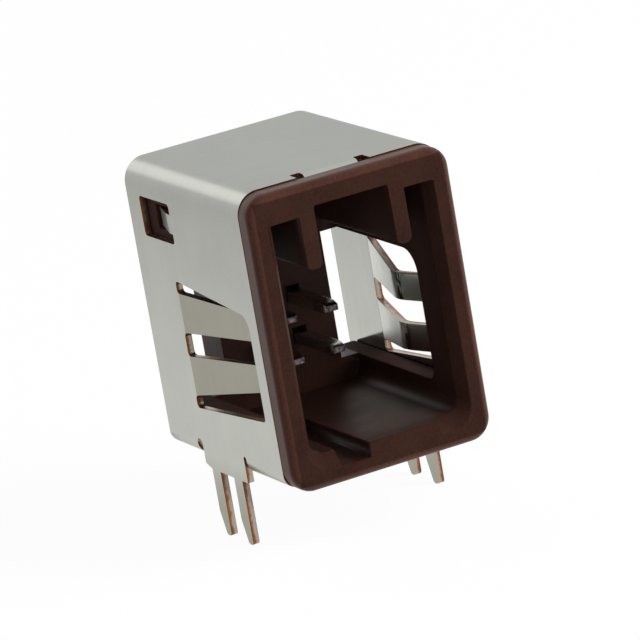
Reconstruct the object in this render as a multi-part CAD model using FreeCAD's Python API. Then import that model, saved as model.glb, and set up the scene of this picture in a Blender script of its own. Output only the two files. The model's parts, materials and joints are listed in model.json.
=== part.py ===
import FreeCAD, Part
import math
import os

# A right-angle shielded header for a circuit board. One folded sheet-metal shell closes round a
# moulded housing with four bent contacts. Millimetres, +Z up, and a plug goes in towards +Y.
# Every piece is drawn from the shell: Y is the depth behind the shell's front edge and Z is the
# height over its underside. The pieces are then moved so that the origin lies on the board's
# top, in the middle of the four shield legs.

V = FreeCAD.Vector

# Overall sizes of the shell
shell_width = 9.70
shell_height = 13.00
shell_depth = 11.03
stand_off = 0.42

# Sheet and its bends, as radii of the inner face
sheet = 0.32
top_inside = 0.72
bottom_inside = 0.31
tongue_inside = 0.02
tab_inside = 0.15
lance_inside = 1.70

# Seats and clearances
housing_gap = 0.03
contact_gap = 0.01
spring_gap = 0.20

# Flaps under the housing
flap_width = 0.95

# Forked legs, two prongs a side, with the right side's set further back
leg_front = 3.73
leg_stagger = 0.30
leg_width = 4.02
leg_slit = 0.26
rear_slit = 0.50
slit_height = 0.82
prong_width = 0.80
prong_pitch = 2.11
prong_length = 2.95
prong_taper = 1.05
prong_tip = 0.42
tip_round = 0.18
shoulder_slope = 0.18

# Tongue folded down at the front of the top
tongue_middle = -0.10
tongue_width = 2.58
tongue_drop = 0.75
tongue_face = 0.15
notch_width = 0.47
notch_depth = 0.72
notch_round = 0.12

# Side windows
window_front = 0.82
window_back = 7.55
window_middle = 5.20
window_back_height = 5.76
window_front_height = 4.66
window_upper_round = 0.70
window_lower_round = 0.20

# Spring tabs, two in each window, bent a little before the window's back
tab_slot = 1.06
tab_root = 1.80
tab_tip = 1.22
tab_bend_line = 0.08
tab_crown = 3.10
crown_round = 1.20
tab_proud = 0.28
tab_flare = 0.53
gap_round = 0.20

# Lances that lock the housing, bent a little behind their hole's front
lance_hole_length = 2.89
lance_hole_height = 1.80
lance_hole_drop = 1.40
lance_hole_back = 1.23
lance_width = 0.88
lance_length = 2.00
lance_bend_line = 0.32
lance_depth = 0.50
hole_round = 0.18

# Housing
housing_depth = 10.50
rear_round = 0.17
collar_depth = 0.99
collar_inset = 0.01
collar_top_inset = 0.06
collar_overhang = 0.155
collar_corner = 1.00
collar_edge = 0.35
wall = 0.90
floor_thickness = 0.91
roof_thickness = 1.10
rear_depth = 2.04
core_wall = 1.00

# Mating socket
socket_corner = 0.60
socket_edge = 0.12
rib_inner = 1.78
rib_width = 0.75
rib_foot = 9.20
rib_round = 0.30
slot_rise = 0.35
lead_in = 0.37
lead_in_rise = 0.66
lead_in_depth = 0.60
lead_in_corner = 1.00
key_left = -2.50
key_right = -1.10
key_depth = 0.66
key_length = 7.00
platform_right = 2.40

# Housing windows beside the spring tabs
block_half_width = 2.80
opening_foot = 2.30
opening_head = 8.10
opening_upper_round = 1.00
opening_lower_round = 0.60

# Contacts
contact_pitch = 2.00
contact_row_pitch = 1.88
contact_middle = 4.76
contact_width = 0.64
contact_thickness = 0.50
contact_inside = 0.20
pin_tip_depth = 4.75
tail_depth = 10.65
tail_row_pitch = 1.20
tail_length = 1.80
point_length = 0.45
point_width = 0.56
point_thickness = 0.27
mouth_rise = 0.16
mouth_depth = 0.60

# Derived sizes, with each bend as the radius of its outer face
top_bend = top_inside + sheet
bottom_bend = bottom_inside + sheet
tongue_bend = tongue_inside + sheet
tab_bend = tab_inside + sheet
lance_bend = lance_inside + sheet
contact_bend = contact_inside + contact_thickness
half_width = shell_width / 2
inner_half = half_width - sheet
body_half = inner_half - housing_gap
body_foot = sheet + housing_gap
body_top = shell_height - sheet - housing_gap
socket_half = body_half - wall
socket_floor = body_foot + floor_thickness
socket_roof = body_top - roof_thickness
rear_face = housing_depth - rear_depth
board_top = -stand_off
leg_middle = leg_front + (leg_width + leg_stagger) / 2
tongue_left = tongue_middle - tongue_width / 2
tongue_right = tongue_middle + tongue_width / 2

# How far a cut runs past the face it opens, and the distance that counts as touching
past = 1.0
touching = 1e-6


def across(u, v):
    """Point of a section across the connector: x and height."""
    return V(u, 0, v)


def along(u, v):
    """Point of a section along the connector: depth and height."""
    return V(0, u, v)


def level(u, v):
    """Point of a section seen from above: x and depth."""
    return V(u, v, 0)


normals = {across: V(0, 1, 0), along: V(1, 0, 0), level: V(0, 0, 1)}


def corner_arc(before, corner, after, radius):
    """First, middle and last point of the arc that rounds a corner."""
    back = (before - corner).normalize()
    forth = (after - corner).normalize()
    half_angle = back.getAngle(forth) / 2
    reach = radius / math.tan(half_angle)
    rise = radius / math.sin(half_angle) - radius
    middle = corner + (back + forth).normalize() * rise
    return corner + back * reach, middle, corner + forth * reach


def path_edges(points, radii, closed):
    """Lines and arcs through points; a radius of nought leaves its corner sharp."""
    count = len(points)
    stops = []
    for index, (corner, radius) in enumerate(zip(points, radii)):
        if radius:
            stops.append(corner_arc(points[index - 1], corner, points[(index + 1) % count], radius))
        else:
            stops.append((corner,))
    edges = []
    for index, stop in enumerate(stops):
        if len(stop) > 1:
            edges.append(Part.Arc(*stop).toShape())
        following = stops[(index + 1) % count][0]
        if (closed or index + 1 < count) and stop[-1].distanceToPoint(following) > touching:
            edges.append(Part.makeLine(stop[-1], following))
    return edges


def outline(corners, radii, plane):
    """Closed wire with rounded corners in one of the three planes."""
    points = [plane(u, v) for u, v in corners]
    return Part.Wire(Part.sortEdges(path_edges(points, radii, True))[0])


def prism(corners, radii, plane, start, end):
    """Solid with a rounded outline, from start to end along the plane's normal."""
    solid = Part.Face(outline(corners, radii, plane)).extrude(normals[plane] * (end - start))
    solid.translate(normals[plane] * start)
    return solid


def rectangle(u0, u1, v0, v1):
    """Four corners of a rectangle, anticlockwise from the lower left."""
    return [(u0, v0), (u1, v0), (u1, v1), (u0, v1)]


def block(x0, x1, y0, y1, z0, z1):
    """Plain box between two values on each axis."""
    return Part.makeBox(x1 - x0, y1 - y0, z1 - z0, V(x0, y0, z0))


def offset_right(points, distance):
    """Points moved to the right of the way they are walked, with mitred corners."""
    rights = []
    for first, second in zip(points, points[1:]):
        length = math.dist(first, second)
        rights.append(((second[1] - first[1]) / length, (first[0] - second[0]) / length))
    moved = []
    for index, (u, v) in enumerate(points):
        before = rights[max(index - 1, 0)]
        after = rights[min(index, len(rights) - 1)]
        share = distance / (1 + before[0] * after[0] + before[1] * after[1])
        moved.append((u + (before[0] + after[0]) * share, v + (before[1] + after[1]) * share))
    return moved


def turns_right(before, corner, after):
    """Whether a walk turns right at a corner."""
    du, dv = corner[0] - before[0], corner[1] - before[1]
    return du * (after[1] - corner[1]) - dv * (after[0] - corner[0]) < 0


def strip(face_points, bends, thickness, plane, start, end):
    """Bent strip whose outer face follows the points, with its thickness to their right.

    Each bend is the outer face's radius, so the inner face has the thickness less on a bend
    towards it and the thickness more on a bend away from it.
    """
    inner_points = offset_right(face_points, thickness)
    inner_bends = []
    for trio, radius in zip(zip(face_points, face_points[1:], face_points[2:]), bends):
        inner_bends.append(radius - thickness if turns_right(*trio) else radius + thickness)
    outer = [plane(u, v) for u, v in face_points]
    inner = [plane(u, v) for u, v in inner_points]
    edges = path_edges(outer, [0, *bends, 0], False) + path_edges(inner, [0, *inner_bends, 0], False)
    edges += [Part.makeLine(outer[0], inner[0]), Part.makeLine(outer[-1], inner[-1])]
    solid = Part.Face(Part.Wire(Part.sortEdges(edges)[0])).extrude(normals[plane] * (end - start))
    solid.translate(normals[plane] * start)
    return solid


def mirrored(shape):
    """Copy on the other side of the connector's middle plane."""
    return shape.mirror(V(0, 0, 0), V(1, 0, 0))


def both_sides(shapes):
    """Shapes of the right side with their copies on the left."""
    return shapes + [mirrored(shape) for shape in shapes]


def window_outline(lower_round, upper_round):
    """Corners and radii of a side window, taller at the back."""
    foot_back = window_middle - window_back_height / 2
    head_back = window_middle + window_back_height / 2
    foot_front = window_middle - window_front_height / 2
    head_front = window_middle + window_front_height / 2
    corners = [(window_front, foot_front), (window_back, foot_back),
               (window_back, head_back), (window_front, head_front)]
    return corners, [lower_round, lower_round, lower_round, upper_round]


def tab_bounds():
    """Foot and head of each spring tab at its root, and at its crown and tip."""
    upper = (window_middle + tab_slot / 2, tab_root)
    lower = (window_middle - tab_slot / 2, -tab_root)
    bounds = []
    for inner_edge, width in (upper, lower):
        tip_width = math.copysign(tab_tip, width)
        bounds.append((inner_edge, inner_edge + width, inner_edge + tip_width))
    return bounds


def spring_tab(inner_edge, root_edge, tip_edge):
    """Tab of the right side, bent in to a crown in the socket and flared out at its tip.

    Its root spreads into the window's back edge with a rounded corner on each side.
    """
    crown_x = socket_half - tab_proud + sheet
    tip_y = window_front + sheet + 2 * spring_gap
    root_y = window_back + sheet
    face = [(half_width, root_y), (half_width, window_back - tab_bend_line),
            (crown_x, tab_crown), (crown_x + tab_flare, tip_y)]
    spread = math.copysign(2 * gap_round, root_edge - inner_edge)
    inner_end = inner_edge - spread
    root_end = root_edge + spread
    low, high = sorted((inner_end, root_end))
    bent = strip(face, [tab_bend, crown_round], sheet, level, low, high)
    side_view = [(root_y, inner_end), (root_y, root_end), (window_back, root_end),
                 (window_back, root_edge), (tab_crown, tip_edge), (0, tip_edge),
                 (0, inner_edge), (window_back, inner_edge), (window_back, inner_end)]
    radii = [0, 0, 0, gap_round, 0, 0, 0, gap_round, 0]
    return bent.common(prism(side_view, radii, along, 0, half_width + past))


def lance():
    """Tongue of the right side, bent in towards the back of its hole."""
    root_y = shell_depth - lance_hole_back - lance_hole_length
    middle = shell_height - lance_hole_drop - lance_hole_height / 2
    face = [(half_width - lance_depth, root_y + lance_length),
            (half_width, root_y + lance_bend_line), (half_width, root_y - sheet)]
    return strip(face, [lance_bend], sheet, level, middle - lance_width / 2, middle + lance_width / 2)


def lance_hole():
    """Hole round the lance."""
    front = shell_depth - lance_hole_back - lance_hole_length
    head = shell_height - lance_hole_drop
    hole = rectangle(front, front + lance_hole_length, head - lance_hole_height, head)
    return prism(hole, [hole_round] * 4, along, socket_half, half_width + past)


def leg(front):
    """Leg plate of the right side with its two tapered prongs, behind a front edge."""
    back = front + leg_width
    middle = (front + back) / 2
    half = prong_width / 2
    taper_top = board_top - prong_length + prong_taper
    tip = board_top - prong_length
    corners = [(front, bottom_bend), (front, board_top)]
    radii = [0, 0]
    for prong in (middle - prong_pitch / 2, middle + prong_pitch / 2):
        corners += [(prong - half, board_top), (prong - half, tip), (prong - half + prong_tip, tip),
                    (prong + half, taper_top), (prong + half, board_top)]
        radii += [0, tip_round, tip_round, prong_taper / 2, 0]
    corners += [(back, board_top + shoulder_slope), (back, bottom_bend)]
    radii += [0, 0]
    return prism(corners, radii, along, inner_half, half_width)


def bottom_flap(front, back):
    """Foot of the right side turned in under the housing."""
    face = [(half_width, bottom_bend), (half_width, 0), (half_width - bottom_bend - flap_width, 0)]
    return strip(face, [bottom_bend], sheet, across, front, back)


def feet(leg_start):
    """Leg of the right side with the flaps before and behind it."""
    return [leg(leg_start), bottom_flap(0, leg_start - leg_slit),
            bottom_flap(leg_start + leg_width + rear_slit, shell_depth)]


def leg_slits(leg_start):
    """Slits of the right side before and behind its leg."""
    slits = []
    for front, width in ((leg_start - leg_slit, leg_slit), (leg_start + leg_width, rear_slit)):
        slit = rectangle(front, front + width, bottom_bend - past, slit_height)
        slits.append(prism(slit, [0, 0, width / 2, width / 2], along, inner_half - past, half_width + past))
    return slits


def staggered(side_shapes):
    """Shapes of the right side, made for its leg, with those of the left made for its own."""
    left = [mirrored(shape) for shape in side_shapes(leg_front)]
    return side_shapes(leg_front + leg_stagger) + left


def shield_shell():
    """Folded shell, open at the back: top, sides, flaps, legs, tongue, tabs and lances."""
    arch = [(-half_width, bottom_bend), (-half_width, shell_height),
            (half_width, shell_height), (half_width, bottom_bend)]
    shell = strip(arch, [top_bend, top_bend], sheet, across, 0, shell_depth)
    shell = shell.multiFuse(staggered(feet))
    shell = shell.cut(both_sides(side_cuts()) + staggered(leg_slits) + front_cuts())
    tabs = [spring_tab(*bounds) for bounds in tab_bounds()]
    shell = shell.multiFuse([tongue()] + both_sides(tabs + [lance()]))
    return shell.removeSplitter()


def side_cuts():
    """Window and lance hole of the right side."""
    corners, radii = window_outline(window_lower_round, window_upper_round)
    return [prism(corners, radii, along, socket_half, half_width + past), lance_hole()]


def front_cuts():
    """Room for the tongue in the top's front edge, with a relief notch at each end."""
    low = shell_height - sheet - past
    high = shell_height + past
    cuts = [block(tongue_left, tongue_right, -past, tongue_face + tongue_bend, low, high)]
    for left in (tongue_left - notch_width, tongue_right):
        notch = rectangle(left, left + notch_width, -past, notch_depth)
        cuts.append(prism(notch, [0, 0, notch_round, notch_round], level, low, high))
    return cuts


def tongue():
    """Middle of the top's front edge, folded down into the housing."""
    face = [(tongue_face, shell_height - tongue_drop), (tongue_face, shell_height),
            (tongue_face + tongue_bend + sheet, shell_height)]
    return strip(face, [tongue_bend], sheet, along, tongue_left, tongue_right)


def socket_outline():
    """Corners and radii of the mating socket with its two hanging ribs."""
    rib_outer = rib_inner + rib_width
    right = [(socket_half, socket_floor), (socket_half, socket_roof), (rib_outer, socket_roof),
             (rib_outer, rib_foot), (rib_inner, rib_foot), (rib_inner, socket_roof + slot_rise)]
    radii = [socket_corner, socket_edge, socket_edge, rib_round, rib_round, socket_edge]
    left = [(-x, z) for x, z in reversed(right)]
    return right + left, radii + radii[::-1]


def lead_in_cut():
    """Sloped mouth of the socket at its sides and lower corners, clear of ribs and platform."""
    mouth_half = socket_half + lead_in
    mouth = rectangle(-mouth_half, mouth_half, socket_floor - lead_in_rise, socket_roof)
    throat = rectangle(-socket_half, socket_half, socket_floor, socket_roof)
    front = outline(mouth, [lead_in_corner, lead_in_corner, socket_edge, socket_edge], across)
    back = outline(throat, [socket_corner, socket_corner, socket_edge, socket_edge], across)
    front.translate(V(0, -collar_depth, 0))
    back.translate(V(0, lead_in_depth - collar_depth, 0))
    funnel = Part.makeLoft([front, back], True, True)
    kept_front = -collar_depth - past
    platform = block(key_right, platform_right, kept_front, 0, socket_floor - past, socket_floor)
    rib = block(rib_inner, rib_inner + rib_width, kept_front, 0, rib_foot, shell_height)
    return funnel.cut([platform] + both_sides([rib]))


def housing_collar():
    """Front collar with rounded outer edges."""
    half = half_width - collar_inset
    corners = rectangle(-half, half, -collar_overhang, shell_height - collar_top_inset)
    collar = prism(corners, [collar_corner] * 4, across, -collar_depth, 0)
    front_edges = [edge for edge in collar.Edges if edge.BoundBox.YMax < -collar_depth + touching]
    return collar.makeFillet(collar_edge, front_edges)


def housing_opening():
    """Window of the right wall, which runs on past the rear wall's side."""
    corners = rectangle(window_front + sheet + spring_gap, housing_depth + past, opening_foot, opening_head)
    return prism(corners, [opening_lower_round, 0, 0, opening_upper_round], along,
                 block_half_width, half_width)


def lance_pocket():
    """Pocket of the right wall that the lance springs into."""
    front = shell_depth - lance_hole_back - lance_hole_length
    middle = shell_height - lance_hole_drop - lance_hole_height / 2
    half = lance_width / 2 + spring_gap / 2
    inner = half_width - lance_depth - sheet - spring_gap / 2
    return block(inner, half_width, front - spring_gap, front + lance_length + spring_gap / 2,
                 middle - half, middle + half)


def contact_rows():
    """Name, pin height and tail depth of each row of contacts."""
    return [("upper", contact_middle + contact_row_pitch / 2, tail_depth),
            ("lower", contact_middle - contact_row_pitch / 2, tail_depth - tail_row_pitch)]


def contact_cuts(x):
    """Pin holes through the rear wall and the slots behind it for one column of contacts."""
    half = contact_width / 2 + contact_gap
    cuts = []
    for name, height, tail in contact_rows():
        head = height + contact_thickness / 2 + contact_gap
        foot = height - contact_thickness / 2 - contact_gap
        cuts.append(block(x - half, x + half, rear_face - past, housing_depth + past, foot, head))
        cuts.append(block(x - half, x + half, rear_face - past, rear_face + mouth_depth,
                          foot, head + mouth_rise))
        slot_front = tail - contact_thickness / 2 - contact_gap
        cuts.append(block(x - half, x + half, slot_front, housing_depth + past, -past, head))
        relief = [(slot_front - contact_inside, foot), (slot_front, foot - contact_inside),
                  (slot_front + contact_inside, foot)]
        cuts.append(prism(relief, [0] * len(relief), along, x - half, x + half))
    return cuts


def housing():
    """Moulded housing: collar, walls with windows, keyed socket and slotted rear wall."""
    body = prism(rectangle(-body_half, body_half, body_foot, body_top),
                 [bottom_inside, bottom_inside, top_inside, top_inside], across, 0, housing_depth)
    rear_edges = [edge for edge in body.Edges if edge.BoundBox.YMin > housing_depth - touching]
    solid = body.makeFillet(rear_round, rear_edges).fuse(housing_collar())
    corners, radii = socket_outline()
    socket = prism(corners, radii, across, -collar_depth - past, rear_face)
    key = block(key_left, key_right, -collar_depth - past, key_length - collar_depth,
                socket_floor - key_depth, socket_floor + touching)
    core = prism(rectangle(-socket_half, socket_half, opening_head - core_wall, socket_roof),
                 [socket_edge] * 4, across, rear_face + core_wall, housing_depth + past)
    pocket = block(tongue_left - housing_gap, tongue_right + housing_gap,
                   housing_gap, tongue_face + tongue_bend + sheet,
                   shell_height - tongue_drop - housing_gap, shell_height)
    cuts = [socket, lead_in_cut(), key, core, pocket]
    cuts += both_sides([housing_opening(), lance_pocket()])
    for x in (-contact_pitch / 2, contact_pitch / 2):
        cuts += contact_cuts(x)
    return solid.cut(cuts).removeSplitter()


def point(x, plane_point, way):
    """Tapered end of a contact, from its full section along a way of unit length."""
    full = [contact_width / 2, contact_thickness / 2]
    small = [point_width / 2, point_thickness / 2]
    side = V(1, 0, 0)
    other = way.cross(side)
    wires = []
    for reach, (half_side, half_other) in ((0, full), (point_length, small)):
        centre = V(x, 0, 0) + plane_point + way * reach
        corners = [centre + side * half_side * a + other * half_other * b
                   for a, b in ((-1, -1), (1, -1), (1, 1), (-1, 1), (-1, -1))]
        wires.append(Part.makePolygon(corners))
    return Part.makeLoft(wires, True, True)


def contact(x, height, tail):
    """Contact bent down behind the rear wall, pointed at its pin and at its board tail."""
    half = contact_thickness / 2
    side = contact_width / 2
    pin_end = pin_tip_depth + point_length
    tail_end = board_top - tail_length + point_length
    face = [(pin_end, height + half), (tail + half, height + half), (tail + half, tail_end)]
    bar = strip(face, [contact_bend], contact_thickness, along, x - side, x + side)
    pin_point = point(x, V(0, pin_end, height), V(0, -1, 0))
    tail_point = point(x, V(0, tail, tail_end), V(0, 0, -1))
    return bar.multiFuse([pin_point, tail_point]).removeSplitter()


def connector():
    """Every piece by its name."""
    pieces = {"shield_shell": shield_shell(), "housing": housing()}
    for row, height, tail in contact_rows():
        for side, x in (("left", -contact_pitch / 2), ("right", contact_pitch / 2)):
            pieces[f"contact_{row}_{side}"] = contact(x, height, tail)
    return pieces


os.makedirs("parts", exist_ok=True)
for piece_name, piece in connector().items():
    piece.translate(V(0, -leg_middle, stand_off))
    piece.exportStep(f"parts/{piece_name}.step")
    print(piece_name, len(piece.Solids), "solid", piece.isValid(), round(piece.Volume, 3))
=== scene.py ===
import json
import math

import bmesh
import bpy
import numpy as np
from bpy.props import FloatProperty, FloatVectorProperty, IntProperty, PointerProperty
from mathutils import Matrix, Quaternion, Vector
from mathutils.bvhtree import BVHTree

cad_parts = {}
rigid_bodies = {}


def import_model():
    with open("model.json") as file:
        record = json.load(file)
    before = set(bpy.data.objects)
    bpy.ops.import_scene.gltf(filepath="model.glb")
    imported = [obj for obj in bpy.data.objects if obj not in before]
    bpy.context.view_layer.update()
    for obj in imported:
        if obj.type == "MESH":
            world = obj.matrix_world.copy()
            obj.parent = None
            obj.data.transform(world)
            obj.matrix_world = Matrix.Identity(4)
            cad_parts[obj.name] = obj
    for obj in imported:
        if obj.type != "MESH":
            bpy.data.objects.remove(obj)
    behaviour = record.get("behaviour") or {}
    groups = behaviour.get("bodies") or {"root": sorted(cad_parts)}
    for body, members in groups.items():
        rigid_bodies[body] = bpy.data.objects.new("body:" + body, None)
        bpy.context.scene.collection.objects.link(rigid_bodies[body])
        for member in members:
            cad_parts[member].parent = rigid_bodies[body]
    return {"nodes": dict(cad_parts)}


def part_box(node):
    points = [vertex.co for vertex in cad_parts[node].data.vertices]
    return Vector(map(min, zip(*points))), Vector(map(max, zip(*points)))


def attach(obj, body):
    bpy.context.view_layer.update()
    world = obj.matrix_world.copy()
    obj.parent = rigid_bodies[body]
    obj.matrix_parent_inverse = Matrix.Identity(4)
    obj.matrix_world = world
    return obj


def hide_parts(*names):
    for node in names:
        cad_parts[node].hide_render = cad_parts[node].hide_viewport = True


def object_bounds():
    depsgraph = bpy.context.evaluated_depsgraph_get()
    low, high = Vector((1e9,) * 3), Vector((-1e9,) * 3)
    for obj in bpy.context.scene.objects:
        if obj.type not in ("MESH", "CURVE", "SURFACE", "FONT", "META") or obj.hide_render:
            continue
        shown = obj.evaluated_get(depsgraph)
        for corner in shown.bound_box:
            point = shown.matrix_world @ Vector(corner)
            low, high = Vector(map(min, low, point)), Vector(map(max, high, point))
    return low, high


# A new file's own cube, lamp and camera go before the frame comes in.
for leftover in list(bpy.data.objects):
    bpy.data.objects.remove(leftover)

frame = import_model()
cad_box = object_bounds()

bl_info = {
    "name": "Shielded board connector",
    "version": (1, 0, 0),
    "blender": (4, 5, 0),
    "location": "View3D > Sidebar > Connector",
    "description": "Finishes a right-angle shielded board connector: "
                   "folded shell, moulded housing and bent contacts",
    "category": "Object",
}

MM = 0.001

# The shell's sheet, and its tabs: how far they lean in from a side, how high they lie, where they end
# at the back, and the depth of their crowns, in front of which their tips flare out
SHEET = 0.32 * MM
TAB_LEAN = (0.005 * MM, 1.5 * MM)
TAB_HEIGHT = (2.4 * MM, 8.9 * MM)
TAB_REAR = 1.7 * MM
TAB_CROWN = -2.9 * MM

# Half the strip that the shell was cut from, and painted shade and light on its tin by share of the way to
# the strip's edge: darker over the top and where the bends end, lighter down the sides, darker towards the
# legs
STRIP_REACH = 20 * MM
PAINTED_LIGHT_RAMP = [(0.0, "#EBEBEB"), (0.19, "#E8E8E8"), (0.29, "#DBDBDB"), (0.35, "#E3E3E3"), (0.56, "#F3F3F3"),
         (0.78, "#FFFFFF"), (0.88, "#FFFFFF"), (0.93, "#EBE9E4"), (1.0, "#D8D5CE")]

# The housing: the outside of the socket's walls, the collar's back, and the depths of the socket's mouth
SOCKET_SIDE = 3.62 * MM
COLLAR_BACK = -5.8 * MM
SOCKET_MOUTH = {"From_Min": -6.4 * MM, "From_Max": -5.0 * MM}

# The collar: the height of its middle, how much more it has in half height than in half width, and where
# its rounding starts, as a distance from its middle
COLLAR_MIDDLE = 6.81 * MM
COLLAR_EXTRA = 1.71 * MM
COLLAR_ROUNDING = {"From_Min": 6.18 * MM, "From_Max": 6.28 * MM}

# An edge that turns more is sharp, faces that turn less lie in one plane, and a shorter edge stays unrounded
SHARP_TURN = math.radians(30)
FLAT_TURN = math.radians(0.5)
SHORT_EDGE = 0.02 * MM

# Rings that round off each end of a contact, and steps round each corner of its section
END_RINGS = 5
CORNER_STEPS = 6

# Span that the values of a noise texture really cover
NOISE_SPAN = {"From_Min": 0.3, "From_Max": 0.7}

# Half width of the floor, the share of plain white in what the eye sees of it, and that white's strength
FLOOR_REACH = 3.0
WHITE_SHARE = 0.90
WHITE_STRENGTH = 1.05

# The lamps' places from the part's middle and their diameters, in metres
KEY_PLACE = Vector((0.252, -0.294, 0.164))
KEY_SIZE = 0.28
BACK_PLACE = Vector((-0.053, 0.262, 0.136))
BACK_SIZE = 0.155


def linear(hex_colour):
    """Turns an sRGB hex colour into linear red, green and blue."""
    srgb = np.array([int(hex_colour[i:i + 2], 16) for i in (1, 3, 5)]) / 255
    return tuple(np.where(srgb <= 0.04045, srgb / 12.92, ((srgb + 0.055) / 1.055) ** 2.4).tolist())


def rgba(colour):
    """Colour of a property as a node socket takes it."""
    return (*colour, 1.0)


def per_metre(millimetres):
    """Texture scale at which a pattern repeats once in that many millimetres."""
    return 1 / (millimetres * MM)


def add(tree, kind, settings=None, **inputs):
    """Adds a node, sets its properties, and sets or links its inputs.

    An input's name has underscores for spaces, or i and a number for a socket told by its place.
    A value of (node, output) is a link, and anything else is set on the socket.
    """
    node = tree.nodes.new(kind)
    for name, value in (settings or {}).items():
        setattr(node, name, value)
    for name, value in inputs.items():
        place = int(name[1:]) if name[0] == "i" and name[1:].isdigit() else name.replace("_", " ")
        if isinstance(value, tuple) and isinstance(value[0], bpy.types.Node):
            tree.links.new(value[0].outputs[value[1]], node.inputs[place])
        else:
            node.inputs[place].default_value = value
    return node


def new_material(name):
    """Material with an empty node tree, and that tree."""
    material = bpy.data.materials.new(name)
    material.use_nodes = True
    material.node_tree.nodes.clear()
    return material, material.node_tree


def in_scene(name, data):
    """New object of the data, linked to the scene."""
    holder = bpy.data.objects.new(name, data)
    bpy.context.scene.collection.objects.link(holder)
    return holder


# Settings


class ShellSettings(bpy.types.PropertyGroup):
    """Sizes and colours of the folded shell."""

    edge_break: FloatProperty(
        name="Edge break", description="Rounding of the stamped edges",
        default=0.012 * MM, min=0.0, unit="LENGTH", precision=6)
    tin_colour: FloatVectorProperty(
        name="Tin", description="Satin tin plating of the sheet",
        default=linear("#C1C3BB"), size=3, subtype="COLOR", min=0.0, max=1.0)
    outer_roughness: FloatProperty(
        name="Outer roughness", description="Roughness of the handled outer face",
        default=0.30, min=0.0, max=1.0, subtype="FACTOR")
    inner_roughness: FloatProperty(
        name="Inner roughness", description="Roughness of the untouched inner face",
        default=0.14, min=0.0, max=1.0, subtype="FACTOR")
    # Painted shade on the tabs' outer faces
    tab_shade_colour: FloatVectorProperty(
        name="Pressed tin", description="Plating dulled where the forming tool pressed the tabs",
        default=linear("#9B988E"), size=3, subtype="COLOR", min=0.0, max=1.0)
    # Painted highlight on the tabs' inner faces
    tab_highlight_colour: FloatVectorProperty(
        name="Rubbed tin", description="Plating burnished where the plug rubs along the tabs",
        default=linear("#F0F2EA"), size=3, subtype="COLOR", min=0.0, max=1.0)
    copper_colour: FloatVectorProperty(
        name="Copper alloy", description="Bare metal of the cut edges",
        default=linear("#8E5A34"), size=3, subtype="COLOR", min=0.0, max=1.0)
    smear_colour: FloatVectorProperty(
        name="Tin smear", description="Plating dragged over the cut edges by the punch",
        default=linear("#A99C90"), size=3, subtype="COLOR", min=0.0, max=1.0)
    streak_width: FloatProperty(
        name="Streak width", description="Width of the rolling streaks in the sheet",
        default=0.30 * MM, min=0.01 * MM, unit="LENGTH", precision=6)


class HousingSettings(bpy.types.PropertyGroup):
    """Sizes and colours of the moulded housing."""

    edge_break: FloatProperty(
        name="Edge break", description="Rounding of the moulded edges",
        default=0.05 * MM, min=0.0, unit="LENGTH", precision=6)
    plastic_colour: FloatVectorProperty(
        name="Plastic", description="Dark brown of the moulding",
        default=linear("#36211B"), size=3, subtype="COLOR", min=0.0, max=1.0)
    plastic_roughness: FloatProperty(
        name="Plastic roughness", description="Roughness of the moulded skin",
        default=0.46, min=0.0, max=1.0, subtype="FACTOR")
    grain: FloatProperty(
        name="Grain", description="Size of the spark-eroded mould's grain",
        default=0.12 * MM, min=0.01 * MM, unit="LENGTH", precision=6)


class ContactSettings(bpy.types.PropertyGroup):
    """Sizes and colours of the four contacts."""

    corner: FloatProperty(
        name="Corner", description="Corner radius of the contact's section",
        default=0.04 * MM, min=0.0, unit="LENGTH", precision=6)
    stock: FloatProperty(
        name="Stock", description="Thickness of the contact's stock",
        default=0.50 * MM, min=0.1 * MM, unit="LENGTH", precision=6)
    inner_bend: FloatProperty(
        name="Inner bend", description="Radius inside the contact's bend",
        default=0.20 * MM, min=0.01 * MM, unit="LENGTH", precision=6)
    point_length: FloatProperty(
        name="Point length", description="Length of the tapered points",
        default=0.45 * MM, min=0.0, unit="LENGTH", precision=6)
    point_width: FloatProperty(
        name="Point width", description="Share of the width left at a point's end",
        default=0.875, min=0.1, max=1.0, subtype="FACTOR")
    point_height: FloatProperty(
        name="Point height", description="Share of the thickness left at a point's end",
        default=0.54, min=0.1, max=1.0, subtype="FACTOR")
    rings: IntProperty(
        name="Rings", description="Sections round the contact's bend",
        default=24, min=4)
    tin_colour: FloatVectorProperty(
        name="Tin", description="Bright tin plating of the contacts",
        default=linear("#C9C8C2"), size=3, subtype="COLOR", min=0.0, max=1.0)
    end_colour: FloatVectorProperty(
        name="Cut end", description="Sheared metal at the points' ends",
        default=linear("#75696A"), size=3, subtype="COLOR", min=0.0, max=1.0)


class StageSettings(bpy.types.PropertyGroup):
    """Floor, lamps and camera."""

    floor_colour: FloatVectorProperty(
        name="Floor", description="Pale paper under the part",
        default=linear("#DFDFDD"), size=3, subtype="COLOR", min=0.0, max=1.0)
    sky: FloatProperty(
        name="Sky", description="Even light from the white surroundings",
        default=0.36, min=0.0)
    key: FloatProperty(
        name="Key lamp", description="Brightness of the soft lamp in front on the right",
        default=7.0, min=0.0)
    back: FloatProperty(
        name="Back lamp", description="Brightness of the soft lamp behind the part",
        default=0.66, min=0.0)
    camera_place: FloatVectorProperty(
        name="Camera", description="Where the camera stands",
        default=(-95.601 * MM, -205.808 * MM, 66.530 * MM),
        size=3, subtype="TRANSLATION", unit="LENGTH")
    camera_aim: FloatVectorProperty(
        name="Aim", description="Point at the middle of the picture",
        default=(0.476 * MM, -0.785 * MM, 5.666 * MM),
        size=3, subtype="TRANSLATION", unit="LENGTH")
    camera_roll: FloatProperty(
        name="Roll", description="Turn of the camera about its line of sight",
        default=math.radians(-9.855), subtype="ANGLE")
    lens: FloatProperty(
        name="Lens", description="Focal length for a 36 mm wide picture",
        default=305.14, min=1.0, subtype="DISTANCE_CAMERA")


# Materials


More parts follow.
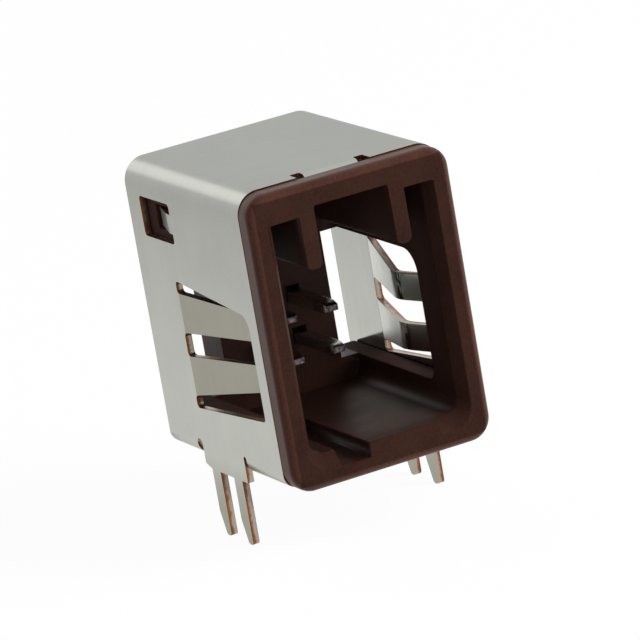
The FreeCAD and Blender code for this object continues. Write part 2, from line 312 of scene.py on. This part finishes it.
def tin_plated_sheet(settings):
    """Matt electroplated tin over rolled copper alloy.

    Gives the eye a smooth clouded grey with faint streaks from the rolls, satin outside and nearly
    a mirror inside, with painted shade and light from the top down the sides, painted shade on the tabs'
    outer faces and a painted highlight on their inner faces.
    """
    material, tree = new_material("Tin plated sheet")
    blank = add(tree, "ShaderNodeAttribute", {"attribute_name": "blank"})
    # Rolling leaves streaks some twenty times as long as they are wide.
    width = settings.streak_width / MM
    along_roll = add(tree, "ShaderNodeMapping", Vector=(blank, "Vector"),
                     Scale=(per_metre(20 * width), per_metre(width), 1.0))
    streaks = add(tree, "ShaderNodeTexNoise", Vector=(along_roll, "Vector"), Scale=1.0, Detail=3.0,
                  Roughness=0.6)
    place = add(tree, "ShaderNodeTexCoord")
    clouds = add(tree, "ShaderNodeTexNoise", Vector=(place, "Object"), Scale=per_metre(2.2), Detail=3.0,
                 Roughness=0.55)
    # The crystals of the plating are finer than a pixel, so they are drawn at a tenth of a millimetre.
    crystals = add(tree, "ShaderNodeTexNoise", Vector=(place, "Object"), Scale=per_metre(0.10), Detail=2.0)
    tone = add(tree, "ShaderNodeMix", {"data_type": "FLOAT"}, Factor=0.65, A=(streaks, "Fac"),
               B=(clouds, "Fac"))
    shade = add(tree, "ShaderNodeMapRange", Value=(tone, 0), **NOISE_SPAN, To_Min=0.94, To_Max=1.05)
    # Painted shade and light by place on the blank: darker over the top and where the bends end, lighter down
    # the sides.
    blank_place = add(tree, "ShaderNodeSeparateXYZ", Vector=(blank, "Vector"))
    from_middle = add(tree, "ShaderNodeMath", {"operation": "ABSOLUTE"}, i0=(blank_place, "X"))
    share = add(tree, "ShaderNodeMath", {"operation": "DIVIDE"}, i0=(from_middle, 0), i1=STRIP_REACH)
    painted_light = add(tree, "ShaderNodeValToRGB", Fac=(share, 0))
    stops = painted_light.color_ramp.elements
    for position, _ in PAINTED_LIGHT_RAMP[1:-1]:
        stops.new(position)
    for stop, (_, tint) in zip(stops, PAINTED_LIGHT_RAMP):
        stop.color = rgba(linear(tint))
    plated = add(tree, "ShaderNodeMix", {"data_type": "RGBA", "blend_type": "MULTIPLY"}, Factor=1.0,
                 A=rgba(settings.tin_colour), B=(painted_light, "Color"))
    # Painted shade on the tabs' outer faces and inside their flared tips.
    pressed = add(tree, "ShaderNodeAttribute", {"attribute_name": "pressed"})
    dulled = add(tree, "ShaderNodeMix", {"data_type": "RGBA"}, Factor=(pressed, "Fac"), A=(plated, 2),
                 B=rgba(settings.tab_shade_colour))
    # Painted highlight on the tabs' inner faces.
    rubbed = add(tree, "ShaderNodeAttribute", {"attribute_name": "rubbed"})
    tin = add(tree, "ShaderNodeMix", {"data_type": "RGBA"}, Factor=(rubbed, "Fac"), A=(dulled, 2),
              B=rgba(settings.tab_highlight_colour))
    colour = add(tree, "ShaderNodeVectorMath", {"operation": "SCALE"}, i0=(tin, 2), Scale=(shade, "Result"))
    # The inner face is smoother than the outer one, and the tabs' inner faces under the painted highlight are
    # rougher.
    across = add(tree, "ShaderNodeAttribute", {"attribute_name": "across"})
    face = add(tree, "ShaderNodeMapRange", Value=(across, "Fac"), To_Min=settings.outer_roughness,
               To_Max=settings.inner_roughness)
    skin = add(tree, "ShaderNodeMix", {"data_type": "FLOAT"}, Factor=(rubbed, "Fac"), A=(face, "Result"),
               B=0.40)
    multiplier = add(tree, "ShaderNodeMapRange", Value=(clouds, "Fac"), **NOISE_SPAN, To_Min=0.85, To_Max=1.15)
    rough = add(tree, "ShaderNodeMath", {"operation": "MULTIPLY"}, i0=(skin, 0), i1=(multiplier, "Result"))
    relief = add(tree, "ShaderNodeMix", {"data_type": "FLOAT"}, Factor=0.35, A=(streaks, "Fac"),
                 B=(crystals, "Fac"))
    bump = add(tree, "ShaderNodeBump", Strength=0.12, Distance=0.004 * MM, Height=(relief, 0))
    # A matt plating mirrors less at a low angle, and the tabs' inner faces under the painted highlight mirror
    # fully there.
    low_angle = add(tree, "ShaderNodeMix", {"data_type": "RGBA"}, Factor=(rubbed, "Fac"),
                    A=(0.7, 0.7, 0.7, 1.0), B=(1.0, 1.0, 1.0, 1.0))
    surface = add(tree, "ShaderNodeBsdfPrincipled", Metallic=1.0, Base_Color=(colour, "Vector"),
                  Roughness=(rough, 0), Specular_Tint=(low_angle, 2), Normal=(bump, "Normal"))
    add(tree, "ShaderNodeOutputMaterial", Surface=(surface, "BSDF"))
    return material


def cut_copper_alloy(settings):
    """Punched edge of copper alloy, cut after plating.

    Gives the eye a dull copper line with a dark rim at the outer face and a grey smear of tin
    towards the inner one, with the ragged border that a punch leaves.
    """
    material, tree = new_material("Cut copper alloy")
    place = add(tree, "ShaderNodeTexCoord")
    across = add(tree, "ShaderNodeAttribute", {"attribute_name": "across"})
    ragged = add(tree, "ShaderNodeTexNoise", Vector=(place, "Object"), Scale=per_metre(0.45), Detail=4.0,
                 Roughness=0.65)
    border = add(tree, "ShaderNodeMath", {"operation": "ADD"}, i0=(across, "Fac"), i1=(ragged, "Fac"))
    smear = add(tree, "ShaderNodeMapRange", {"interpolation_type": "SMOOTHSTEP"}, Value=(border, 0),
                From_Min=0.78, From_Max=1.12)
    patches = add(tree, "ShaderNodeTexNoise", Vector=(place, "Object"), Scale=per_metre(0.9), Detail=2.0)
    shade = add(tree, "ShaderNodeMapRange", Value=(patches, "Fac"), **NOISE_SPAN, To_Min=0.75, To_Max=1.15)
    rim = add(tree, "ShaderNodeMapRange", {"interpolation_type": "SMOOTHSTEP"}, Value=(across, "Fac"),
              From_Min=0.05, From_Max=0.20, To_Min=0.60, To_Max=1.0)
    tinted = add(tree, "ShaderNodeMath", {"operation": "MULTIPLY"}, i0=(shade, "Result"), i1=(rim, "Result"))
    copper = add(tree, "ShaderNodeVectorMath", {"operation": "SCALE"}, i0=tuple(settings.copper_colour),
                 Scale=(tinted, 0))
    colour = add(tree, "ShaderNodeMix", {"data_type": "RGBA"}, Factor=(smear, "Result"), A=(copper, "Vector"),
                 B=rgba(settings.smear_colour))
    bump = add(tree, "ShaderNodeBump", Strength=0.4, Distance=0.01 * MM, Height=(ragged, "Fac"))
    surface = add(tree, "ShaderNodeBsdfPrincipled", Metallic=1.0, Base_Color=(colour, 2), Roughness=0.34,
                  Normal=(bump, "Normal"))
    add(tree, "ShaderNodeOutputMaterial", Surface=(surface, "BSDF"))
    return material


def moulded_polyester(settings):
    """Glass-filled polyester moulded in a spark-eroded mould.

    Gives the eye a dark brown satin with a fine even grain, slightly clouded by the flow of the
    melt, and a painted highlight lightening the collar's rounded border, which has a soft sheen at a low
    angle.
    """
    material, tree = new_material("Moulded polyester")
    place = add(tree, "ShaderNodeTexCoord")
    flow = add(tree, "ShaderNodeTexNoise", Vector=(place, "Object"), Scale=per_metre(1.8), Detail=3.0,
               Roughness=0.6)
    grain = add(tree, "ShaderNodeTexNoise", Vector=(place, "Object"), Scale=per_metre(settings.grain / MM),
                Detail=2.0)
    mottle = add(tree, "ShaderNodeMix", {"data_type": "FLOAT"}, Factor=0.5, A=(flow, "Fac"), B=(grain, "Fac"))
    shade = add(tree, "ShaderNodeMapRange", Value=(mottle, 0), **NOISE_SPAN, To_Min=0.70, To_Max=1.24)
    skin = add(tree, "ShaderNodeMapRange", Value=(flow, "Fac"), **NOISE_SPAN,
               To_Min=settings.plastic_roughness - 0.05, To_Max=settings.plastic_roughness + 0.05)
    # The side cores leave a rougher skin behind the collar, outside the socket, than the core inside it.
    spot = add(tree, "ShaderNodeSeparateXYZ", Vector=(place, "Object"))
    sideways = add(tree, "ShaderNodeMath", {"operation": "ABSOLUTE"}, i0=(spot, "X"))
    outside = add(tree, "ShaderNodeMath", {"operation": "GREATER_THAN"}, i0=(sideways, 0), i1=SOCKET_SIDE)
    behind = add(tree, "ShaderNodeMath", {"operation": "GREATER_THAN"}, i0=(spot, "Y"), i1=COLLAR_BACK)
    cored = add(tree, "ShaderNodeMath", {"operation": "MULTIPLY"}, i0=(outside, 0), i1=(behind, 0))
    rough = add(tree, "ShaderNodeMix", {"data_type": "FLOAT"}, Factor=(cored, 0), A=(skin, "Result"), B=0.85)
    # The core leaves the inside of the socket polished and its mouth duller.
    polish = add(tree, "ShaderNodeMapRange", Value=(spot, "Y"), **SOCKET_MOUTH, To_Min=0.05, To_Max=0.185)
    # The collar's rounded border has a soft sheen at a low angle.
    low_angle = add(tree, "ShaderNodeLayerWeight", Blend=0.5)
    sheen = add(tree, "ShaderNodeMapRange", Value=(low_angle, "Facing"), From_Min=0.12, From_Max=0.60,
                To_Min=0.06, To_Max=0.27)
    above = add(tree, "ShaderNodeMath", {"operation": "SUBTRACT"}, i0=(spot, "Z"), i1=COLLAR_MIDDLE)
    upwards = add(tree, "ShaderNodeMath", {"operation": "ABSOLUTE"}, i0=(above, 0))
    squared = add(tree, "ShaderNodeMath", {"operation": "ADD"}, i0=(sideways, 0), i1=COLLAR_EXTRA)
    outwards = add(tree, "ShaderNodeMath", {"operation": "MAXIMUM"}, i0=(upwards, 0), i1=(squared, 0))
    border = add(tree, "ShaderNodeMapRange", {"interpolation_type": "SMOOTHSTEP"}, Value=(outwards, 0),
                 **COLLAR_ROUNDING)
    gloss = add(tree, "ShaderNodeMix", {"data_type": "FLOAT"}, Factor=(border, "Result"),
                A=(polish, "Result"), B=(sheen, "Result"))
    # Painted highlight: the collar's rounded border is lightened to a brighter brown.
    collar = add(tree, "ShaderNodeMath", {"operation": "SUBTRACT"}, i0=1.0, i1=(behind, 0))
    painted_highlight = add(tree, "ShaderNodeMath", {"operation": "MULTIPLY"}, i0=(border, "Result"), i1=(collar, 0))
    multiplier = add(tree, "ShaderNodeMapRange", Value=(painted_highlight, 0), To_Min=1.0, To_Max=1.9)
    tone = add(tree, "ShaderNodeMath", {"operation": "MULTIPLY"}, i0=(shade, "Result"), i1=(multiplier, "Result"))
    colour = add(tree, "ShaderNodeVectorMath", {"operation": "SCALE"}, i0=tuple(settings.plastic_colour),
                 Scale=(tone, 0))
    bump = add(tree, "ShaderNodeBump", Strength=0.25, Distance=0.01 * MM, Height=(grain, "Fac"))
    surface = add(tree, "ShaderNodeBsdfPrincipled", Base_Color=(colour, "Vector"), Roughness=(rough, 0),
                  IOR=1.55, Specular_IOR_Level=(gloss, 0), Specular_Tint=(1.0, 0.82, 0.74, 1.0),
                  Normal=(bump, "Normal"))
    add(tree, "ShaderNodeOutputMaterial", Surface=(surface, "BSDF"))
    return material


def bright_tin(settings):
    """Reflowed tin over drawn copper-alloy wire.

    Gives the eye a bright cool silver with faint lines along the wire and a dull, torn cut at each end.
    """
    material, tree = new_material("Bright tin")
    place = add(tree, "ShaderNodeTexCoord")
    # Drawing marks are some hundredths of a millimetre wide, drawn here at a twentieth to show.
    drawn = add(tree, "ShaderNodeMapping", Vector=(place, "Object"),
                Scale=(per_metre(0.05), per_metre(1.0), per_metre(1.0)))
    lines = add(tree, "ShaderNodeTexNoise", Vector=(drawn, "Vector"), Scale=1.0, Detail=2.0)
    shade = add(tree, "ShaderNodeMapRange", Value=(lines, "Fac"), **NOISE_SPAN, To_Min=0.88, To_Max=1.05)
    tin = add(tree, "ShaderNodeVectorMath", {"operation": "SCALE"}, i0=tuple(settings.tin_colour),
              Scale=(shade, "Result"))
    end = add(tree, "ShaderNodeAttribute", {"attribute_name": "end"})
    torn = add(tree, "ShaderNodeTexNoise", Vector=(place, "Object"), Scale=per_metre(0.16), Detail=2.0)
    tear = add(tree, "ShaderNodeMapRange", Value=(torn, "Fac"), From_Min=0.35, From_Max=0.65,
               To_Min=0.55, To_Max=1.45)
    cut = add(tree, "ShaderNodeVectorMath", {"operation": "SCALE"}, i0=tuple(settings.end_colour),
              Scale=(tear, "Result"))
    colour = add(tree, "ShaderNodeMix", {"data_type": "RGBA"}, Factor=(end, "Fac"), A=(tin, "Vector"),
                 B=(cut, "Vector"))
    rough = add(tree, "ShaderNodeMapRange", Value=(end, "Fac"), To_Min=0.22, To_Max=0.50)
    bump = add(tree, "ShaderNodeBump", Strength=0.05, Distance=0.004 * MM, Height=(lines, "Fac"))
    surface = add(tree, "ShaderNodeBsdfPrincipled", Metallic=1.0, Base_Color=(colour, 2),
                  Roughness=(rough, "Result"), Normal=(bump, "Normal"))
    add(tree, "ShaderNodeOutputMaterial", Surface=(surface, "BSDF"))
    return material


def seen_rays(tree):
    """Node that is 1 for a ray from the eye, a mirror or glass, and 0 for one that only carries light."""
    light_path = add(tree, "ShaderNodeLightPath")
    eye_or_mirror = add(tree, "ShaderNodeMath", {"operation": "ADD", "use_clamp": True},
                        i0=(light_path, "Is Camera Ray"), i1=(light_path, "Is Glossy Ray"))
    return add(tree, "ShaderNodeMath", {"operation": "ADD", "use_clamp": True},
               i0=(eye_or_mirror, 0), i1=(light_path, "Is Transmission Ray"))


def studio_paper(settings):
    """Matt white paper.

    Gives the eye a plain white ground with the part's faint shadow left on it.
    """
    material, tree = new_material("Studio paper")
    share = add(tree, "ShaderNodeMath", {"operation": "MULTIPLY"}, i0=(seen_rays(tree), 0), i1=WHITE_SHARE)
    place = add(tree, "ShaderNodeTexCoord")
    fibres = add(tree, "ShaderNodeTexNoise", Vector=(place, "Object"), Scale=per_metre(0.8), Detail=3.0)
    shade = add(tree, "ShaderNodeMapRange", Value=(fibres, "Fac"), To_Min=0.99, To_Max=1.01)
    colour = add(tree, "ShaderNodeVectorMath", {"operation": "SCALE"}, i0=tuple(settings.floor_colour),
                 Scale=(shade, "Result"))
    paper = add(tree, "ShaderNodeBsdfDiffuse", Color=(colour, "Vector"))
    white = add(tree, "ShaderNodeEmission", Strength=WHITE_STRENGTH)
    surface = add(tree, "ShaderNodeMixShader", i0=(share, 0), i1=(paper, "BSDF"), i2=(white, "Emission"))
    add(tree, "ShaderNodeOutputMaterial", Surface=(surface, "Shader"))
    material.cycles.emission_sampling = "NONE"
    return material


# Pieces


def put_on(piece, node):
    """Sets a finished piece on the frame in place of its node."""
    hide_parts(node)
    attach(piece, "root")


def merged(node, reach):
    """Copy of a node's triangles with the points nearer than the reach joined."""
    mesh = bmesh.new()
    mesh.from_mesh(frame["nodes"][node].data)
    bmesh.ops.remove_doubles(mesh, verts=mesh.verts, dist=reach)
    mesh.normal_update()
    mesh.faces.ensure_lookup_table()
    return mesh


def join_flat(mesh, borders):
    """Joins the triangles of a plane into one face, apart from those on two sides of a border."""
    bmesh.ops.dissolve_limit(mesh, angle_limit=FLAT_TURN, verts=mesh.verts, edges=mesh.edges, delimit=borders)


def mark_edges(mesh):
    """Weights the sharp outer edges for rounding, and keeps the inner and the short ones sharp."""
    weight = mesh.edges.layers.float.new("bevel_weight_edge")
    for edge in mesh.edges:
        turn = edge.calc_face_angle_signed(0)
        rounded = turn > SHARP_TURN and edge.calc_length() > SHORT_EDGE
        edge[weight] = float(rounded)
        edge.smooth = rounded or abs(turn) < SHARP_TURN
    for face in mesh.faces:
        face.smooth = True


def to_piece(mesh, name):
    """Object made of a finished mesh."""
    data = bpy.data.meshes.new(name)
    mesh.to_mesh(data)
    mesh.free()
    return in_scene(name, data)


def lead_by_faces(piece):
    """Lets the large faces lead the shading."""
    shading = piece.modifiers.new("Flat faces lead", "WEIGHTED_NORMAL")
    shading.keep_sharp = True
    return shading


def finish_edges(piece, width):
    """Rounds the weighted edges without bending the shading of the flat faces beside them."""
    bevel = piece.modifiers.new("Edge break", "BEVEL")
    bevel.limit_method = "WEIGHT"
    bevel.width = width
    bevel.segments = 2
    bevel.use_clamp_overlap = False
    bevel.face_strength_mode = "FSTR_ALL"
    lead_by_faces(piece).use_face_influence = True


def behind_faces(mesh):
    """Depth of metal straight behind the middle of each face."""
    tree = BVHTree.FromBMesh(mesh)
    skip = 0.002 * MM
    depths = []
    for face in mesh.faces:
        start = face.calc_center_median() - face.normal * skip
        depth = tree.ray_cast(start, -face.normal)[3]
        depths.append(depth + skip if depth else math.inf)
    return np.array(depths)


def connected(mesh, first, allowed):
    """Faces that a walk over shared edges reaches from the first one, through allowed ones."""
    reached = {first}
    waiting = [first]
    while waiting:
        face = mesh.faces[waiting.pop()]
        for edge in face.edges:
            for other in edge.link_faces:
                if other.index not in reached and allowed[other.index]:
                    reached.add(other.index)
                    waiting.append(other.index)
    return reached


def note_faces_and_painted_tabs(mesh, outer):
    """Notes on each point of the shell which face of the sheet it is on and where its tabs get painted light.

    The attribute across is 0 on the outer face and 1 on the inner one. A tab is the sheet that leans in
    from a side beside the socket. Painted shade covers all of its outer face and the inside of its flared
    tip by half, and a painted highlight covers the rest of its inner face.
    """
    outer_points = {point.index for face in outer for point in mesh.faces[face].verts}
    across = mesh.verts.layers.float.new("across")
    pressed = mesh.verts.layers.float.new("pressed")
    rubbed = mesh.verts.layers.float.new("rubbed")
    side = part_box("shield_shell")[1].x
    for point in mesh.verts:
        outside = point.index in outer_points
        lean = side - abs(point.co.x) - (0 if outside else SHEET)
        tab = (TAB_LEAN[0] < lean < TAB_LEAN[1] and TAB_HEIGHT[0] < point.co.z < TAB_HEIGHT[1]
               and point.co.y < TAB_REAR)
        flare = point.co.y < TAB_CROWN
        point[across] = float(not outside)
        point[pressed] = tab * (1.0 if outside else 0.5 * flare)
        point[rubbed] = float(tab and not outside and not flare)


def unfold(data, top):
    """Writes each point's place on the flat blank to the attribute blank.

    Across the blank, a side lies beyond the top's edge by as much as it hangs down.
    """
    place = np.empty(len(data.vertices) * 3, np.float32)
    data.vertices.foreach_get("co", place)
    x, y, z = place.reshape(-1, 3).T
    across = x + np.sign(x) * (top - z)
    blank = data.attributes.new("blank", "FLOAT_VECTOR", "POINT")
    blank.data.foreach_set("vector", np.stack([across, y, np.zeros_like(x)], 1).astype(np.float32).ravel())


class CONNECTOR_OT_fold_shell(bpy.types.Operator):
    """Finishes the folded shell: satin tin on its two faces and bare copper on its cut edges"""

    bl_idname = "connector.fold_shell"
    bl_label = "Fold the shell"

    def execute(self, context):
        settings = context.scene.connector_shell
        mesh = merged("shield_shell", reach=0.012 * MM)
        # A face of the sheet has the other face one thickness behind it, and a cut edge has not.
        plated = np.abs(behind_faces(mesh) - SHEET) < 0.1 * SHEET
        top = max(mesh.faces, key=lambda face: face.calc_center_median().z + face.normal.z)
        outer = connected(mesh, top.index, plated)
        # About half of the plated triangles are on the outer face.
        if not 0.4 < len(outer) / plated.sum() < 0.6:
            raise RuntimeError("the shell's outer face could not be told from its inner one")
        note_faces_and_painted_tabs(mesh, outer)
        for face in mesh.faces:
            face.material_index = int(not plated[face.index])
        join_flat(mesh, borders={"MATERIAL"})
        mark_edges(mesh)
        shell = to_piece(mesh, "shell_folded_sheet")
        unfold(shell.data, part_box("shield_shell")[1].z)
        shell.data.materials.append(tin_plated_sheet(settings))
        shell.data.materials.append(cut_copper_alloy(settings))
        finish_edges(shell, settings.edge_break)
        put_on(shell, "shield_shell")
        return {"FINISHED"}


class CONNECTOR_OT_mould_housing(bpy.types.Operator):
    """Finishes the moulded housing with rounded edges and a grained brown skin"""

    bl_idname = "connector.mould_housing"
    bl_label = "Mould the housing"

    def execute(self, context):
        settings = context.scene.connector_housing
        mesh = merged("housing", reach=0.005 * MM)
        join_flat(mesh, borders=set())
        mark_edges(mesh)
        housing = to_piece(mesh, "housing_moulding")
        housing.data.materials.append(moulded_polyester(settings))
        finish_edges(housing, settings.edge_break)
        put_on(housing, "housing")
        return {"FINISHED"}


def section_outline(corner, half_width, half_height, steps):
    """Rounded rectangle: each quarter of a turn is an arc about its own corner's centre."""
    angle = np.linspace(0, math.tau, 4 * steps, endpoint=False) + math.tau / (8 * steps)
    across, up = np.cos(angle), np.sin(angle)
    centre = np.stack([np.sign(across) * (half_width - corner), np.sign(up) * (half_height - corner)], 1)
    start = np.floor(angle / (math.tau / 4)) * math.tau / 4
    turn = start + (angle - start - math.tau / (8 * steps)) * steps / (steps - 1)
    return centre + corner * np.stack([np.cos(turn), np.sin(turn)], 1)


def contact_mesh(name, low, high, settings):
    """Surface of a bent contact: its section is carried along a path of two runs and an arc.

    The path goes from the pin's tip back at the pin's height, round the bend, and down to the
    tail's tip. Along it the section keeps its size, tapers over each point's length, and draws in
    over the last corner radius to close on the middle.
    """
    half_width = (high.x - low.x) / 2
    half = settings.stock / 2
    corner = settings.corner
    # The path is the middle line of the stock.
    radius = settings.inner_bend + half
    middle = (high.x + low.x) / 2
    height = high.z - half
    depth = high.y - half
    run = depth - radius - low.y
    drop = height - radius - low.z
    bend = radius * math.pi / 2
    length = run + bend + drop
    # The rings lie close together at the two ends and round the bend.
    quarter = np.linspace(0, math.pi / 2, END_RINGS)
    ends = np.concatenate([corner * (1 - np.cos(quarter)), [settings.point_length]])
    reach = np.concatenate([ends, run + np.linspace(0, bend, settings.rings), length - ends[::-1]])
    turn = np.clip((reach - run) / radius, 0, math.pi / 2)
    y = low.y + np.minimum(reach, run) + radius * np.sin(turn)
    z = height - radius * (1 - np.cos(turn)) - np.maximum(reach - run - bend, 0)
    path = np.stack([np.full_like(y, middle), y, z], 1)
    side = np.array([1.0, 0.0, 0.0])
    up = np.stack([np.zeros_like(turn), np.sin(turn), np.cos(turn)], 1)
    from_end = np.clip(np.minimum(reach, length - reach) / settings.point_length, 0, 1)[:, None]
    wide = settings.point_width + (1 - settings.point_width) * from_end
    tall = settings.point_height + (1 - settings.point_height) * from_end
    draw = np.ones_like(from_end)
    draw[:END_RINGS, 0] = np.sin(quarter)
    draw[-END_RINGS:, 0] = np.sin(quarter)[::-1]
    # Only the last corner radius of the section draws in, and the flat end inside it closes on the middle.
    outline = section_outline(corner, half_width, half, CORNER_STEPS)
    rim_wide = half_width * wide - corner * (1 - draw)
    rim_tall = half * tall - corner * (1 - draw)
    flat_wide = np.clip(outline[:, 0] * wide, -rim_wide, rim_wide)
    flat_tall = np.clip(outline[:, 1] * tall, -rim_tall, rim_tall)
    points = path[:, None, :] + flat_wide[..., None] * side + flat_tall[..., None] * up[:, None, :]
    # Walls join each ring to the next one, and a fan closes each end on the tip of the path.
    rings, around = points.shape[:2]
    grid = np.arange(rings * around).reshape(rings, around)
    beside = np.roll(grid, -1, axis=1)
    walls = np.stack([grid[:-1], grid[1:], beside[1:], beside[:-1]], -1).reshape(-1, 4)
    front = np.stack([grid[0], beside[0], np.full(around, rings * around)], -1)
    rear = np.stack([beside[-1], grid[-1], np.full(around, rings * around + 1)], -1)
    data = bpy.data.meshes.new(name)
    data.from_pydata(np.concatenate([points.reshape(-1, 3), path[[0, -1]]]).tolist(), [],
                     walls.tolist() + front.tolist() + rear.tolist())
    data.polygons.foreach_set("use_smooth", np.ones(len(data.polygons), bool))
    # The rings that draw in and the two tips are the cut ends.
    cut = np.concatenate([np.repeat(draw < 1, around), [True, True]])
    end = data.attributes.new("end", "FLOAT", "POINT")
    end.data.foreach_set("value", cut.astype(np.float32))
    return data


class CONNECTOR_OT_bend_contacts(bpy.types.Operator):
    """Makes the four bent contacts with rounded sections and tapered points"""

    bl_idname = "connector.bend_contacts"
    bl_label = "Bend the contacts"

    def execute(self, context):
        settings = context.scene.connector_contacts
        tin = bright_tin(settings)
        for row in ("upper", "lower"):
            for hand in ("left", "right"):
                node = f"contact_{row}_{hand}"
                data = contact_mesh(f"{node}_wire", *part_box(node), settings)
                data.materials.append(tin)
                wire = in_scene(data.name, data)
                lead_by_faces(wire)
                put_on(wire, node)
        return {"FINISHED"}


# Stage


def lay_floor(settings):
    """Wide square of paper at the height of the part's lowest point."""
    ways = ((-1, -1), (1, -1), (1, 1), (-1, 1))
    data = bpy.data.meshes.new("floor")
    data.from_pydata([(x * FLOOR_REACH, y * FLOOR_REACH, cad_box[0].z) for x, y in ways], [], [(0, 1, 2, 3)])
    data.materials.append(studio_paper(settings))
    floor = in_scene("floor", data)


def white_surroundings(settings):
    """World that looks plain white and lights the part evenly at the sky's strength."""
    world = bpy.data.worlds.new("White surroundings")
    world.use_nodes = True
    tree = world.node_tree
    tree.nodes.clear()
    strength = add(tree, "ShaderNodeMapRange", Value=(seen_rays(tree), 0), To_Min=settings.sky, To_Max=1.0)
    sky = add(tree, "ShaderNodeBackground", Color=(1.0, 1.0, 1.0, 1.0), Strength=(strength, "Result"))
    add(tree, "ShaderNodeOutputWorld", Surface=(sky, "Background"))
    return world


def soft_lamp(name, place, aim, size, radiance):
    """Round soft lamp that adds its radiance to what lies behind it, whatever its size."""
    lamp = bpy.data.lights.new(name, "AREA")
    lamp.shape = "DISK"
    lamp.size = size
    lamp.energy = radiance * math.pi * size ** 2
    holder = in_scene(name, lamp)
    holder.location = place
    holder.rotation_mode = "QUATERNION"
    holder.rotation_quaternion = (aim - place).to_track_quat("-Z", "Y")
    return holder


def set_camera(settings):
    """Camera that stands, aims and is rolled as the settings say."""
    lens = bpy.data.cameras.new("camera")
    lens.sensor_width = 36.0
    lens.lens = settings.lens
    lens.clip_start = 0.01
    lens.clip_end = 20.0
    camera = in_scene("camera", lens)
    camera.location = settings.camera_place
    sight = Vector(settings.camera_aim) - Vector(settings.camera_place)
    camera.rotation_mode = "QUATERNION"
    camera.rotation_quaternion = sight.to_track_quat("-Z", "Y") @ Quaternion((0, 0, 1), settings.camera_roll)
    return camera


class CONNECTOR_OT_set_stage(bpy.types.Operator):
    """Lays the pale floor, hangs the soft lamps and sets the camera"""

    bl_idname = "connector.set_stage"
    bl_label = "Set the stage"

    def execute(self, context):
        scene = context.scene
        settings = scene.connector_stage
        middle = (cad_box[0] + cad_box[1]) / 2
        lay_floor(settings)
        scene.world = white_surroundings(settings)
        # Metal shows the white surroundings and not the key lamp, which would clip it to white.
        key = soft_lamp("key_lamp", middle + KEY_PLACE, middle, KEY_SIZE, settings.key)
        key.visible_glossy = False
        soft_lamp("back_lamp", middle + BACK_PLACE, middle, BACK_SIZE, settings.back)
        scene.camera = set_camera(settings)
        scene.view_settings.view_transform = "Standard"
        return {"FINISHED"}


class CONNECTOR_PT_pieces(bpy.types.Panel):
    """Lists the connector's settings and pieces"""

    bl_idname = "CONNECTOR_PT_pieces"
    bl_label = "Connector"
    bl_space_type = "VIEW_3D"
    bl_region_type = "UI"
    bl_category = "Connector"

    def draw(self, context):
        for name, (_, operator) in STEPS.items():
            box = self.layout.box()
            settings = getattr(context.scene, name)
            for key in settings.bl_rna.properties.keys():
                if key not in ("rna_type", "name"):
                    box.prop(settings, key)
            box.operator(operator.bl_idname)


# Each group of settings, by its name on the scene, with the operator that uses it
STEPS = {
    "connector_shell": (ShellSettings, CONNECTOR_OT_fold_shell),
    "connector_housing": (HousingSettings, CONNECTOR_OT_mould_housing),
    "connector_contacts": (ContactSettings, CONNECTOR_OT_bend_contacts),
    "connector_stage": (StageSettings, CONNECTOR_OT_set_stage),
}
CLASSES = [*(cls for pair in STEPS.values() for cls in pair), CONNECTOR_PT_pieces]


def register():
    """Registers the classes and hangs the settings on the scene."""
    for cls in CLASSES:
        bpy.utils.register_class(cls)
    for name, (group, _) in STEPS.items():
        setattr(bpy.types.Scene, name, PointerProperty(type=group))


def unregister():
    """Takes the settings off the scene and the classes out again."""
    for name in STEPS:
        delattr(bpy.types.Scene, name)
    for cls in reversed(CLASSES):
        bpy.utils.unregister_class(cls)


def main():
    """Makes every piece and the stage."""
    register()
    bpy.ops.connector.fold_shell()
    bpy.ops.connector.mould_housing()
    bpy.ops.connector.bend_contacts()
    bpy.ops.connector.set_stage()
    bpy.context.view_layer.update()


if __name__ == "__main__":
    main()
